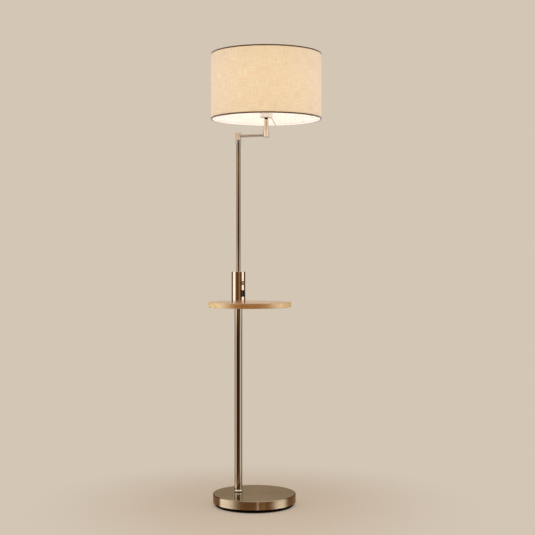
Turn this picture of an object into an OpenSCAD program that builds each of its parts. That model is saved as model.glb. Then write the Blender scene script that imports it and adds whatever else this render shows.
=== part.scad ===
// Floor lamp with a round side table, a control housing with a push button and a charging
// socket, a short swing arm and a drum shade. Millimetres, +Z up. The origin is the centre of
// the base on the floor, and +X runs from the base's centre away from the pole, along the arm.

/* [Base] */
// Diameter of the base cover
base_d = 300; // [260:1:360]
// Height of the base cover's side wall
base_cover_h = 31; // [24:0.5:45]
// Sheet thickness of the base cover
base_cover_wall = 1.2; // [0.8:0.1:2]
// Radius on the upper edge of the base cover
base_edge_r = 2.2; // [2.2:0.1:6]
// Height of the cover's lower edge above the floor
base_gap = 12.5; // [11.5:0.5:18]
// How far the weight stands in from the side of the cover
weight_inset = 7; // [4:0.5:14]
// How far the weight reaches up inside the cover
weight_lap = 4.5; // [2:0.5:8]
// Diameter of the boss that carries the cover under the pole
boss_d = 60; // [50:1:80]
// Thickness of the foam pad under the weight
pad_t = 3; // [2:0.5:3.5]
// Distance from the centre of the base to the pole
pole_offset = 62; // [45:1:85]
// Bore of the bush that the mains lead enters by
cord_bore_d = 6.4; // [5:0.1:6.8]

/* [Lower pole] */
// Outside diameter of the lower pole
lower_pole_d = 28; // [24:0.5:36]
// Wall of the lower pole
lower_pole_wall = 1.5; // [1:0.1:2.5]
// Diameter of the polished collar at the pole's foot
collar_d = 30; // [28:0.5:44]
// Height of the collar
collar_h = 10; // [5:0.5:12]

/* [Table] */
// Diameter of the table top
table_d = 300; // [240:1:360]
// Thickness of the table top
table_t = 19; // [16:0.5:28]
// Rounding of the table's edges
table_edge_r = 2; // [1:0.25:7]
// Height of the table's surface above the floor
table_z = 736; // [600:1:800]
// Distance from the pole to the centre of the table
table_offset = 44; // [0:1:80]
// Diameter of the steel plate under the table
plate_d = 70; // [60:1:110]
// Thickness of the steel plate
plate_t = 3; // [3:0.25:5]

/* [Control housing] */
// Outside diameter of the housing
housing_d = 50; // [48:0.5:60]
// Height of the housing above the table
housing_h = 110; // [106:1:150]
// Wall of the housing
housing_wall = 1.5; // [1:0.1:2]
// Turn of the button and the socket about the pole
controls_angle = -30; // [-180:1:180]
// Height of the button above the table
button_z = 69; // [60:0.5:78]
// Diameter of the button
button_d = 11; // [8:0.25:12]
// How far the button stands out of its ring
button_proud = 2; // [1.6:0.1:4]
// How far the button travels when it is pressed
button_travel = 1.2; // [0.6:0.1:1.5]
// Height of the charging socket above the table
socket_z = 31; // [28:0.5:38]
// Width of the black frame round the socket
socket_frame_w = 16; // [12:0.5:18]
// Height of the black frame round the socket
socket_frame_h = 24; // [20:0.5:28]

/* [Upper pole] */
// Outside diameter of the upper pole
upper_pole_d = 16; // [15:0.25:17]
// Wall of the upper pole
upper_pole_wall = 1; // [0.8:0.05:1.2]

/* [Swing arm] */
// Height of the arm's axis above the floor
arm_z = 1340; // [1100:1:1500]
// Distance between the arm's two vertical axes
arm_reach = 108; // [60:1:240]
// Outside diameter of the arm
arm_d = 10; // [8:0.25:11]
// Bore of the arm
arm_bore = 7; // [5.5:0.1:7.5]
// Diameter of the knuckle on the pole
knuckle_d = 19; // [18.5:0.25:26]
// Diameter of the knuckle under the shade
head_knuckle_d = 20; // [18.5:0.25:26]
// Height of the fixed socket on top of the pole
socket_h = 17; // [14:0.5:30]
// Outside diameter of the hollow pivot pins
pin_d = 8; // [7.5:0.1:8.5]
// Bore of the pivot pins
pin_bore = 5; // [4.6:0.1:5.6]
// Thickness of the slip washers
slip_t = 0.8; // [0.5:0.1:2]
// Turn that the stop pins allow each way at both swivels
swing_stop = 165; // [120:5:170]

/* [Lampholder] */
// Outside diameter of the tube under the lampholder
stem_d = 17; // [16.5:0.25:22]
// Length of the stem tube
stem_l = 31; // [20:0.5:80]
// Height of the black neck between stem and lampholder
neck_h = 6; // [3:0.5:12]
// Outside diameter of the lampholder
holder_d = 46; // [45:0.5:52]
// Height of the lampholder's cap
holder_cap_h = 28; // [26:0.5:40]
// Diameter of the threaded sleeve that carries the shade
sleeve_d = 39.5; // [38:0.25:40]
// Height of the sleeve above the cap
sleeve_h = 24; // [20:0.5:28]

/* [Bulb] */
// Diameter of the bulb
bulb_d = 60; // [45:0.5:95]
// Length of the bulb above its screw cap
bulb_l = 79; // [70:0.5:125]

/* [Shade] */
// Diameter of the shade
shade_d = 400; // [300:1:450]
// Height of the shade
shade_h = 236.5; // [180:0.5:300]
// Height of the spider's hub above the shade's lower edge
shade_drop = 34.5; // [20:0.5:60]
// Thickness of the laminated fabric
fabric_t = 0.8; // [0.6:0.1:1.5]
// Thickness of the trim that wraps both edges
trim_t = 0.6; // [0.4:0.1:1]
// Height of the trim on the outside
trim_h = 4.5; // [4:0.25:15]
// Diameter of the wire in the shade's two rings
ring_wire_d = 4; // [3:0.25:5]
// Diameter of the wire in the spider's arms
arm_wire_d = 3.2; // [2.5:0.1:4]
// Direction of the first of the spider's arms
spider_angle = 100; // [0:1:359]

/* [Hidden] */
$fn = 96;

cut = 1;              // how far a cutting shape runs past the face that it cuts
fit = 0.05;           // radial clearance of threads, pressed pieces and running fits
loose = 0.25;         // radial clearance where a tie passes a plain hole

// Threaded tie tubes that clamp the stand together, with room for the leads inside.
tie_d = 10;
tie_bore = 7;
tie_over = 1.5;       // what shows of a tie past its nut
pole_x = -pole_offset;

// Heights of the base
base_top = base_gap + base_cover_h;
weight_top = base_gap + weight_lap;
weight_d = base_d - 2 * weight_inset;
recess_d = 42;        // the well under the weight that takes the nut
recess_top = pad_t + 16;
washer_d = 36;
washer_t = 2;
nut_af = 16;
nut_t = 5;
lower_tie_z = recess_top - washer_t - nut_t - tie_over;
cord_z = (pad_t + base_gap) / 2;
cord_bush_d = cord_bore_d + 2;
cord_bush_l = 14;
cord_lip_d = cord_bush_d + 0.9;
cord_lip_t = 2;
cord_seat = 0.8;      // depth of the flat that the bush's lip sits on

// Heights of the lower pole and the table
bush_h = 20;
lower_pole_z = base_top + collar_h;
plate_z = table_z - table_t - plate_t;
lower_pole_id = lower_pole_d - 2 * lower_pole_wall;
screw_circle_r = plate_d / 2 - 9;
screw_d = 3.5;
screw_head_d = 7.2;
screw_sink = 2.2;
screw_l = plate_t + table_t - 5;
pilot_l = screw_l - plate_t + 1;
table_x = pole_x + table_offset;

// Control housing. Its parts are placed along the direction that the controls face.
plug_h = 12;
lid_t = 2;
seat = 1;             // how deep the housing is let into the table
housing_id = housing_d - 2 * housing_wall;
housing_top = table_z + housing_h;
shell_h = housing_h - lid_t;
groove = 2;           // how deep the board's edges sit in the two plugs
board_t = 1.6;
board_w = 36;
board_r = 8;          // distance from the pole's axis to the board's face
board_gap = 0.1;
grub_d = 4;
grub_l = 6;
grub_socket_af = 2;
switch_w = 13;
switch_depth = 10;
bezel_wall = 2;
bezel_d = button_d + 2 * bezel_wall - 0.4;
bezel_proud = 1.2;
bezel_face = housing_d / 2 + bezel_proud;
button_gap = 0.25;
button_back = board_r + switch_depth + button_travel + 0.8;
button_face = bezel_face + button_proud - bezel_proud;
plunger_d = 4;
plunger_l = button_back - board_r - switch_depth + 4;
port_h = 13.1;        // a type A charging socket
port_w = 5.7;
port_wall = 0.4;
port_face = housing_d / 2 + 0.2;
tongue_w = 1.9;
tongue_h = 11.1;
tongue_back = 4;
frame_face = housing_d / 2 + 0.7;
frame_corner_r = 2;
flange_t = 1.5;
flange_lap = 1.25;
flange_half = socket_frame_w / 2 + flange_lap;
flange_face = sqrt(pow(housing_id / 2, 2) - pow(flange_half, 2));
terminal_w = 12;
terminal_h = 10;
terminal_depth = 2 * (board_r - board_t);
terminal_z = shell_h - plug_h - 4 - terminal_h;

// Upper pole and the hollow pivots of the arm
upper_pole_id = upper_pole_d - 2 * upper_pole_wall;
upper_bush_h = 18;
lead_d = 3;
lead_bend = 4;        // centre-line radius where the lead turns into the arm
pin_flange_d = 12;
pin_flange_t = 2;
ring_nut_d = 11.6;
ring_nut_t = 3;
lock_t = 1;           // steel washer under each ring nut
cavity_d = 12.4;      // room for the nut inside a knuckle
cap_plug_h = 1.5;
arm_seat = 2;         // how deep the arm sits in each knuckle's wall
socket_floor = 5;

// Stop pins. Each stands in a knuckle and runs in a track that stops short of a full turn.
stop_d = 1.5;
stop_seat = 3;        // how deep a pin is pressed into its knuckle
stop_reach = 1.2;     // how far it reaches into its track
track_depth = 1.6;
track_gap = 0.2;      // clearance on each side of the pin
track_wall = 0.8;     // what stays outside the track
pole_track_r = knuckle_d / 2 - track_wall - track_gap - stop_d / 2;
head_track_r = stem_d / 2 - track_wall - track_gap - stop_d / 2;
slip_gap = 0.4;       // between a slip washer and its stop pin
pole_slip_d = 2 * (pole_track_r - stop_d / 2 - slip_gap);
head_slip_d = 2 * (head_track_r - stop_d / 2 - slip_gap);

barrel_floor = 6;
barrel_bottom = arm_z - lead_bend - ring_nut_t - lock_t - barrel_floor;
barrel_cap_t = 3;
barrel_top = arm_z + arm_d / 2 + cap_plug_h + 2.5;
pivot_top = barrel_bottom + barrel_floor + lock_t + ring_nut_t;
socket_top = barrel_bottom - slip_t;
pole_top = socket_top - socket_floor;

head_x = pole_x + arm_reach;
head_cap_t = 1.5;
head_bottom = arm_z - arm_d / 2 - 1;
head_floor = 9;
head_pin_z = arm_z + lead_bend + 2;
head_ceiling = head_pin_z + ring_nut_t + lock_t;
head_top = head_ceiling + head_floor;

// Stem and lampholder
stem_wall = 1.5;
stem_id = stem_d - 2 * stem_wall;
stem_foot_z = head_top + slip_t;
stem_foot_t = 4;
spigot_h = 8;
stem_z = stem_foot_z + stem_foot_t;
stem_cap_t = 2;
stem_top = stem_z + stem_l + stem_cap_t;
nipple_below = 8;
nipple_above = 8;
neck_d = 12.5;
holder_z = stem_top + neck_h;
holder_wall = 2;
holder_floor = 3;
ledge_h = 10;         // height of the ledge that carries the contact block
ledge_w = 2;
block_t = 8;
cap_top = holder_z + holder_cap_h;
cap_id = holder_d - 2 * holder_wall;
block_z = holder_z + ledge_h;
block_top = block_z + block_t;
shell_id = 27.4;
shell_t = 0.6;
shell_top = cap_top + sleeve_h - 4;
sleeve_top = cap_top + sleeve_h;
sleeve_bore = shell_id + 2 * shell_t + 2 * fit;
contact_w = 7;
contact_t = 0.8;
contact_rise = 4;
terminal_screw_d = 4;
terminal_pitch = 11;

// Bulb, standing on the centre contact
bulb_cap_d = 26.4;
bulb_tip_d = 9;
bulb_tip_h = 2;
bulb_cone_h = 5;
bulb_z = block_top + contact_rise;
bulb_thread_z = bulb_z + bulb_tip_h + bulb_cone_h;
bulb_thread_h = 20;
bulb_glass_z = bulb_thread_z + bulb_thread_h;

// Shade
hub_z = cap_top;
hub_t = 2;
hub_id = sleeve_d + 0.6;
hub_d = hub_id + 14;
clamp_t = 8;
clamp_d = hub_id + 8;
shade_z = hub_z - shade_drop;
shade_top = shade_z + shade_h;
skin_r = shade_d / 2 - trim_t;
ring_r = skin_r - fabric_t - ring_wire_d / 2;
trim_leg = trim_t + ring_wire_d;
seam_w = 12;
seam_t = 0.4;
seam_angle = 118;
arm_count = 3;

// ---- Shapes that repeat ----

module tube(od, id, h) {
    difference() {
        cylinder(d = od, h = h);
        translate([0, 0, -cut]) cylinder(d = id, h = h + 2 * cut);
    }
}

// A rectangle with rounded corners, its lower left corner at the origin.
module soft_rect(w, h, r) {
    translate([r, 0]) square([w - 2 * r, h]);
    translate([0, r]) square([w, h - 2 * r]);
    for (x = [r, w - r], y = [r, h - r]) translate([x, y]) circle(r);
}

// A round disc with a hole, its upper outside edge rounded.
module soft_disc(od, id, h, r) {
    rotate_extrude() difference() {
        union() {
            square([od / 2 - r, h]);
            square([od / 2, h - r]);
            translate([od / 2 - r, h - r]) circle(r);
        }
        translate([-cut, -cut]) square([id / 2 + cut, h + 2 * cut]);
    }
}

module torus(ring_radius, wire_d) {
    rotate_extrude() translate([ring_radius, 0]) circle(d = wire_d);
}

module at_pole(z) { translate([pole_x, 0, z]) children(); }

module at_head(z) { translate([head_x, 0, z]) children(); }

// Places a shape at a height above the table with +X facing the way that the controls face.
module at_controls(z) { at_pole(table_z + z) rotate([0, 0, controls_angle]) children(); }

// Turns a shape drawn along +Z so that it runs outwards along +X, starting at distance r.
module outward(r) { translate([r, 0, 0]) rotate([0, 90, 0]) children(); }

// A box that starts at distance r and is centred across and up.
module radial_box(r, depth, w, h) { translate([r, -w / 2, -h / 2]) cube([depth, w, h]); }

// ---- Base ----

module base_pad() {
    color("#1b1b1b") difference() {
        cylinder(d = weight_d - 8, h = pad_t);
        at_pole(-cut) cylinder(d = recess_d + 4, h = pad_t + 2 * cut);
    }
}

module base_weight() {
    color("#141414") difference() {
        union() {
            translate([0, 0, pad_t]) cylinder(d = weight_d, h = weight_top - pad_t);
            // the flange that centres the cover
            translate([0, 0, base_gap])
                cylinder(d = base_d - 2 * base_cover_wall - 2 * loose, h = weight_lap);
            at_pole(pad_t) cylinder(d = boss_d, h = base_top - base_cover_wall - pad_t);
        }
        at_pole(0) cylinder(d = tie_d + 2 * loose, h = base_top);
        at_pole(pad_t - cut) cylinder(d = recess_d, h = recess_top - pad_t + cut);
        // the mains lead's way in, with a flat for the lip of its bush
        translate([pole_x, 0, cord_z]) rotate([0, -90, 0])
            cylinder(d = cord_bush_d + 2 * fit, h = weight_d);
        translate([cord_seat - weight_d / 2, 0, cord_z]) rotate([0, -90, 0])
            cylinder(d = cord_lip_d + 2 * fit, h = weight_inset);
    }
}

// A pressed shell, open below.
module base_cover() {
    color("#a89c86") difference() {
        translate([0, 0, base_gap]) rotate_extrude() difference() {
            union() {
                square([base_d / 2 - base_edge_r, base_cover_h]);
                square([base_d / 2, base_cover_h - base_edge_r]);
                translate([base_d / 2 - base_edge_r, base_cover_h - base_edge_r])
                    circle(base_edge_r);
            }
            translate([-cut, -cut]) union() {
                inner_r = base_edge_r - base_cover_wall;
                inner = base_d / 2 - base_cover_wall + cut;
                top = base_cover_h - base_cover_wall + cut;
                square([inner - inner_r, top]);
                square([inner, top - inner_r]);
                translate([inner - inner_r, top - inner_r]) circle(inner_r);
            }
        }
        at_pole(base_gap) cylinder(d = tie_d + 2 * loose, h = base_cover_h + cut);
    }
}

module cord_bush() {
    color("#1b1b1b") translate([cord_seat - weight_d / 2, 0, cord_z]) rotate([0, -90, 0])
        difference() {
            union() {
                translate([0, 0, -cord_bush_l]) cylinder(d = cord_bush_d, h = cord_bush_l);
                cylinder(d = cord_lip_d, h = cord_lip_t);
            }
            translate([0, 0, -cord_bush_l - cut])
                cylinder(d = cord_bore_d, h = cord_bush_l + cord_lip_t + 2 * cut);
        }
}

module base_washer() {
    color("silver") at_pole(recess_top - washer_t) tube(washer_d, tie_d + 2 * loose, washer_t);
}

module base_nut() {
    color("silver") at_pole(recess_top - washer_t - nut_t) difference() {
        cylinder(d = nut_af / cos(30), h = nut_t, $fn = 6);
        translate([0, 0, -cut]) cylinder(d = tie_d + 2 * fit, h = nut_t + 2 * cut);
    }
}

module tie(z0, z1) { at_pole(z0) tube(tie_d, tie_bore, z1 - z0); }

// Three hollow ties: base to lower pole, lower pole to housing, housing to upper pole.
module tie_tubes() {
    color("#c9b27a") {
        tie(lower_tie_z, lower_pole_z + bush_h - 2);
        tie(plate_z - bush_h + 2, table_z + plug_h);
        tie(housing_top - lid_t - plug_h, housing_top + upper_bush_h - 2);
    }
}

// ---- Lower pole ----

// A polished bead between the base and the pole.
module foot_collar() {
    color("#e8e2d8") at_pole(base_top) rotate_extrude() {
        bore = tie_d / 2 + loose;
        translate([bore, 0]) square([collar_d / 2 - collar_h / 2 - bore, collar_h]);
        translate([collar_d / 2 - collar_h / 2, collar_h / 2]) circle(collar_h / 2);
    }
}

module pole_bushes() {
    color("silver") for (z = [lower_pole_z, plate_z - bush_h])
        at_pole(z) tube(lower_pole_id - 2 * fit, tie_d + 2 * fit, bush_h);
}

module lower_pole() {
    color("#a89c86") at_pole(lower_pole_z)
        tube(lower_pole_d, lower_pole_id, plate_z - lower_pole_z);
}

// ---- Table ----

module at_table_screws() {
    for (a = [90, 210, 330]) at_pole(plate_z) rotate([0, 0, a]) translate([screw_circle_r, 0, 0])
        children();
}

module table_plate() {
    color("#8d8d8d") difference() {
        at_pole(plate_z) tube(plate_d, tie_d + 2 * loose, plate_t);
        at_table_screws() {
            translate([0, 0, -cut]) cylinder(d = screw_d + 2 * loose, h = plate_t + 2 * cut);
            cylinder(d1 = screw_head_d + 2 * fit, d2 = screw_d + 2 * fit, h = screw_sink);
            translate([0, 0, -cut]) cylinder(d = screw_head_d + 2 * fit, h = cut);
        }
    }
}

// Countersunk wood screws that hold the plate to the table.
module table_screws() {
    tip = 3;
    slot = 1;
    color("silver") at_table_screws() difference() {
        union() {
            cylinder(d1 = screw_head_d, d2 = screw_d, h = screw_sink);
            cylinder(d = screw_d, h = screw_l - tip);
            translate([0, 0, screw_l - tip]) cylinder(d1 = screw_d, d2 = 0.6, h = tip);
        }
        for (a = [0, 90]) rotate([0, 0, a])
            translate([-screw_d / 2, -slot / 2, -cut]) cube([screw_d, slot, cut + 1.2]);
    }
}

module table_top() {
    color("#c79a62") difference() {
        translate([table_x, 0, table_z - table_t]) rotate_extrude() {
            square([table_d / 2 - table_edge_r, table_t]);
            translate([0, table_edge_r]) square([table_d / 2, table_t - 2 * table_edge_r]);
            for (z = [table_edge_r, table_t - table_edge_r])
                translate([table_d / 2 - table_edge_r, z]) circle(table_edge_r);
        }
        at_pole(table_z - table_t - cut) cylinder(d = tie_d + 2 * loose, h = table_t + 2 * cut);
        at_pole(table_z - seat) cylinder(d = housing_d + 2 * loose, h = seat + cut);
        at_table_screws() translate([0, 0, plate_t - cut])
            cylinder(d = screw_d + 2 * fit, h = pilot_l + cut);
    }
}

// ---- Control housing ----

module board_groove(z, h) {
    translate([board_r - board_t - board_gap, -board_w / 2 - board_gap, z])
        cube([board_t + 2 * board_gap, board_w + 2 * board_gap, h]);
}

module grub_hole(z, r0) {
    translate([0, 0, z]) rotate([0, -90, 0]) translate([0, 0, r0])
        cylinder(d = grub_d + 2 * fit, h = housing_d);
}

grub_z = [plug_h / 2, shell_h - plug_h / 2];
grub_r = housing_d / 2 - 0.2 - grub_l;

module housing_base() {
    color("#9a9a96") at_controls(0) difference() {
        translate([0, 0, -seat]) tube(housing_id - 2 * fit, tie_d + 2 * fit, plug_h + seat);
        board_groove(plug_h - groove, groove + cut);
        grub_hole(grub_z[0], grub_r);
    }
}

module housing_shell() {
    color("#a89c86") at_controls(0) difference() {
        translate([0, 0, -seat]) tube(housing_d, housing_id, shell_h + seat);
        translate([0, 0, button_z]) outward(0) cylinder(d = bezel_d + 2 * fit, h = housing_d);
        translate([0, 0, socket_z]) rotate([90, 0, 90]) linear_extrude(housing_d)
            translate([-socket_frame_w / 2 - fit, -socket_frame_h / 2 - fit])
                soft_rect(socket_frame_w + 2 * fit, socket_frame_h + 2 * fit, frame_corner_r);
        for (z = grub_z) grub_hole(z, 0);
    }
}

module housing_lid() {
    color("#a89c86") at_controls(shell_h) difference() {
        union() {
            soft_disc(housing_d, tie_d + 2 * fit, lid_t, 0.8);
            translate([0, 0, -plug_h]) tube(housing_id - 2 * fit, tie_d + 2 * fit, plug_h + cut / 2);
        }
        board_groove(-plug_h - cut, groove + cut);
        grub_hole(grub_z[1] - shell_h, grub_r);
    }
}

// Two grub screws at the back lock the shell to its two plugs.
module housing_screws() {
    color("#5a5a5a") for (z = grub_z) at_controls(z) rotate([0, -90, 0])
        translate([0, 0, grub_r]) difference() {
            cylinder(d = grub_d, h = grub_l);
            translate([0, 0, grub_l - 2]) cylinder(d = grub_socket_af / cos(30), h = 2 + cut, $fn = 6);
        }
}

module driver_board() {
    color("#2e6b45") at_controls(plug_h - groove)
        translate([board_r - board_t, -board_w / 2, 0])
            cube([board_t, board_w, shell_h - 2 * plug_h + 2 * groove]);
}

// Transformer, capacitor and the terminal block that the lampholder's lead starts from.
module board_parts() {
    back = board_r - board_t;
    color("#3a3a3a") at_controls(0) {
        translate([0, 0, 36]) radial_box(back - 18, 18, 22, 26);
        translate([0, 8, 62]) outward(back - 16) cylinder(d = 10, h = 16);
        translate([0, 0, terminal_z + terminal_h / 2])
            radial_box(-terminal_depth / 2, terminal_depth, terminal_w, terminal_h);
    }
}

module switch_body() {
    color("#232323") at_controls(button_z) difference() {
        radial_box(board_r, switch_depth, switch_w, switch_w);
        outward(board_r + 2) cylinder(d = plunger_d + 2 * fit, h = switch_depth);
    }
}

// The ring that guides the button. It stands on the switch and fills the hole in the shell.
module button_bezel() {
    color("#8f8676") at_controls(button_z) outward(board_r + switch_depth)
        tube(bezel_d, button_d + 2 * button_gap, bezel_face - board_r - switch_depth);
}

module button_cap() {
    edge = 1;
    color("#c9c2b4") at_controls(button_z) {
        outward(button_back) rotate_extrude() {
            square([button_d / 2 - edge, button_face - button_back]);
            square([button_d / 2, button_face - button_back - edge]);
            translate([button_d / 2 - edge, button_face - button_back - edge]) circle(edge);
        }
        outward(button_back - plunger_l) cylinder(d = plunger_d, h = plunger_l + cut);
    }
}

module socket_bezel() {
    color("#111111") at_controls(socket_z) difference() {
        union() {
            translate([flange_face - flange_t, 0, 0]) rotate([90, 0, 90])
                linear_extrude(frame_face - flange_face + flange_t)
                    translate([-socket_frame_w / 2, -socket_frame_h / 2])
                        soft_rect(socket_frame_w, socket_frame_h, frame_corner_r);
            radial_box(flange_face - flange_t, flange_t, 2 * flange_half,
                socket_frame_h + 2 * flange_lap);
        }
        radial_box(0, housing_d, port_w + 2 * fit, port_h + 2 * fit);
    }
}

module socket_shell() {
    color("#c8c8c8") at_controls(socket_z) difference() {
        radial_box(board_r, port_face - board_r, port_w, port_h);
        radial_box(board_r - cut, port_face - board_r + 2 * cut,
            port_w - 2 * port_wall, port_h - 2 * port_wall);
    }
}

module socket_tongue() {
    color("#e6e6e2") at_controls(socket_z) {
        radial_box(board_r, tongue_back, port_w - 2 * port_wall - 2 * fit,
            port_h - 2 * port_wall - 2 * fit);
        translate([0, -0.6, 0])
            radial_box(board_r + tongue_back - 0.1, port_face - board_r - tongue_back - 1,
                tongue_w, tongue_h);
    }
}

// ---- Upper pole ----

module upper_pole_bush() {
    color("silver") at_pole(housing_top)
        tube(upper_pole_id - 2 * fit, tie_d + 2 * fit, upper_bush_h);
}

module upper_pole() {
    color("#a89c86") at_pole(housing_top) tube(upper_pole_d, upper_pole_id, pole_top - housing_top);
}

// The stand's stretch of the lampholder's lead, from the terminal block to the first pivot.
module stand_lead() {
    z0 = table_z + terminal_z + terminal_h;
    color("#e9e6df") at_pole(z0) cylinder(d = lead_d, h = arm_z - lead_bend - z0);
}

// ---- Swing arm: two hollow pivots, each clamped by a ring nut inside its knuckle ----

// Half the turn of a stop's track, so that the pin meets its end at the stated angle.
function track_half(r) = swing_stop + asin((stop_d / 2 + fit) / r);

// The track that a stop pin runs in, as the shape to cut away. It is centred on +X.
module stop_track(r) {
    rotate([0, 0, -track_half(r)]) rotate_extrude(angle = 2 * track_half(r))
        translate([r - stop_d / 2 - track_gap, 0])
            square([stop_d + 2 * track_gap, track_depth + cut]);
}

module stop_hole(r, z) { translate([r, 0, z]) cylinder(d = stop_d + 2 * fit, h = stop_seat + cut); }

module pole_socket() {
    color("#a89c86") at_pole(socket_top - socket_h) difference() {
        soft_disc(knuckle_d, pin_d + 2 * fit, socket_h, 0.6);
        translate([0, 0, -cut])
            cylinder(d = upper_pole_d + 2 * fit, h = socket_h - socket_floor + cut);
        translate([0, 0, socket_h - track_depth]) stop_track(pole_track_r);
    }
}

// A flanged hollow pin, its flange below and its shank pointing up.
module pin(shank_l) {
    difference() {
        union() {
            cylinder(d = pin_flange_d, h = pin_flange_t);
            cylinder(d = pin_d, h = pin_flange_t + shank_l);
        }
        translate([0, 0, -cut]) cylinder(d = pin_bore, h = pin_flange_t + shank_l + 2 * cut);
    }
}

module ring_nut() {
    slot = 1.6;
    difference() {
        cylinder(d = ring_nut_d, h = ring_nut_t);
        translate([0, 0, -cut]) cylinder(d = pin_d + 2 * fit, h = ring_nut_t + 2 * cut);
        translate([-ring_nut_d, -slot / 2, ring_nut_t - 1.2]) cube([2 * ring_nut_d, slot, 1.2 + cut]);
    }
}

module pivot_pin() {
    color("silver") at_pole(pole_top - pin_flange_t) pin(pivot_top - pole_top);
}

// A nylon slip washer under the knuckle and a steel one on its floor.
module pivot_washers() {
    color("#dcdcd4") {
        at_pole(socket_top) tube(pole_slip_d, pin_d + 2 * fit, slip_t);
        at_pole(barrel_bottom + barrel_floor) tube(ring_nut_d, pin_d + 2 * fit, lock_t);
    }
}

module pivot_nut() {
    color("silver") at_pole(pivot_top - ring_nut_t) ring_nut();
}

// The seat and the lead's way through for the arm, drawn from a knuckle's axis along +X.
module arm_hole(d) {
    outward(d / 2 - arm_seat) cylinder(d = arm_d + 2 * fit, h = arm_seat + cut);
    outward(0) cylinder(d = arm_bore, h = d / 2);
}

module arm_barrel() {
    color("#a89c86") difference() {
        at_pole(barrel_bottom) cylinder(d = knuckle_d, h = barrel_top - barrel_bottom);
        at_pole(barrel_bottom - cut) cylinder(d = pin_d + 2 * fit, h = barrel_floor + 2 * cut);
        at_pole(barrel_bottom + barrel_floor) cylinder(d = cavity_d, h = barrel_top);
        at_pole(barrel_bottom) stop_hole(pole_track_r, -cut);
        at_pole(arm_z) arm_hole(knuckle_d);
    }
}

module head_barrel() {
    color("#a89c86") difference() {
        at_head(head_bottom) cylinder(d = head_knuckle_d, h = head_top - head_bottom);
        at_head(head_bottom - cut) cylinder(d = cavity_d, h = head_ceiling - head_bottom + cut);
        at_head(head_ceiling - cut) cylinder(d = pin_d + 2 * fit, h = head_floor + 2 * cut);
        at_head(head_top) rotate([0, 0, 180]) stop_hole(head_track_r, -stop_seat);
        at_head(arm_z) rotate([0, 0, 180]) arm_hole(head_knuckle_d);
    }
}

module arm_rod() {
    start = pole_x + knuckle_d / 2 - arm_seat;
    end = head_x - head_knuckle_d / 2 + arm_seat;
    color("#a89c86") translate([start, 0, arm_z]) rotate([0, 90, 0])
        tube(arm_d, arm_bore, end - start);
}

// The caps that close the two knuckles: one on top at the pole, one underneath at the shade.
module arm_caps() {
    plug_d = cavity_d - 2 * fit;
    color("#a89c86") {
        at_pole(barrel_top) soft_disc(knuckle_d, 0, barrel_cap_t, 1);
        at_pole(barrel_top - cap_plug_h) cylinder(d = plug_d, h = cap_plug_h + cut);
        at_head(head_bottom) mirror([0, 0, 1]) soft_disc(head_knuckle_d, 0, head_cap_t, 0.7);
        at_head(head_bottom - cut) cylinder(d = plug_d, h = cap_plug_h + cut);
    }
}

// The pole's stop points down from its knuckle, and the head's points up from its own.
module stop_pins() {
    length = stop_seat + slip_t + stop_reach;
    color("silver") {
        at_pole(socket_top - stop_reach) translate([pole_track_r, 0, 0])
            cylinder(d = stop_d, h = length);
        at_head(head_top - stop_seat) translate([-head_track_r, 0, 0])
            cylinder(d = stop_d, h = length);
    }
}

// A quarter turn of the lead in the XZ plane, from straight up to along +X.
module lead_elbow() {
    translate([lead_bend, 0, 0]) rotate([90, 0, 0]) rotate([0, 0, 90])
        rotate_extrude(angle = 90) translate([lead_bend, 0]) circle(d = lead_d);
}

module arm_lead() {
    color("#e9e6df") {
        at_pole(arm_z - lead_bend) lead_elbow();
        translate([pole_x + lead_bend, 0, arm_z]) rotate([0, 90, 0])
            cylinder(d = lead_d, h = arm_reach - 2 * lead_bend);
        at_head(arm_z + lead_bend) rotate([0, 180, 0]) lead_elbow();
    }
}

// ---- Stem ----

module head_pin() {
    color("silver") at_head(stem_foot_z + stem_foot_t + pin_flange_t) mirror([0, 0, 1])
        pin(stem_foot_z + stem_foot_t - head_pin_z);
}

module head_washers() {
    color("#dcdcd4") {
        at_head(head_top) tube(head_slip_d, pin_d + 2 * fit, slip_t);
        at_head(head_ceiling - lock_t) tube(ring_nut_d, pin_d + 2 * fit, lock_t);
    }
}

module head_nut() {
    color("silver") at_head(head_pin_z + ring_nut_t) mirror([0, 0, 1]) ring_nut();
}

module stem_foot() {
    color("#a89c86") at_head(stem_foot_z) difference() {
        union() {
            cylinder(d = stem_d, h = stem_foot_t);
            cylinder(d = stem_id - 2 * fit, h = stem_foot_t + spigot_h);
        }
        translate([0, 0, -cut]) cylinder(d = pin_d + 2 * fit, h = stem_foot_t + 2 * cut);
        translate([0, 0, stem_foot_t]) cylinder(d = pin_flange_d + 2 * fit, h = spigot_h + cut);
        translate([0, 0, track_depth]) mirror([0, 0, 1]) rotate([0, 0, 180])
            stop_track(head_track_r);
    }
}

module stem_tube() {
    color("#a89c86") at_head(stem_z) tube(stem_d, stem_id, stem_l);
}

module stem_cap() {
    color("#a89c86") at_head(stem_top - stem_cap_t) difference() {
        union() {
            soft_disc(stem_d, 0, stem_cap_t, 0.6);
            translate([0, 0, -spigot_h]) cylinder(d = stem_id - 2 * fit, h = spigot_h + cut);
        }
        translate([0, 0, -spigot_h - cut])
            cylinder(d = tie_d + 2 * fit, h = spigot_h + stem_cap_t + 2 * cut);
    }
}

// The head's stretch of the lead, from the second pivot to the contact block.
module head_lead() {
    z0 = arm_z + lead_bend;
    color("#e9e6df") at_head(z0) cylinder(d = lead_d, h = block_z - z0);
}

module neck_nipple() {
    color("#c9b27a") at_head(stem_top - nipple_below)
        tube(tie_d, tie_bore, nipple_below + neck_h + nipple_above);
}

module neck_ring() {
    color("#1b1b1b") at_head(stem_top) tube(neck_d, tie_d + 2 * fit, neck_h);
}

// ---- Lampholder ----

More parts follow.
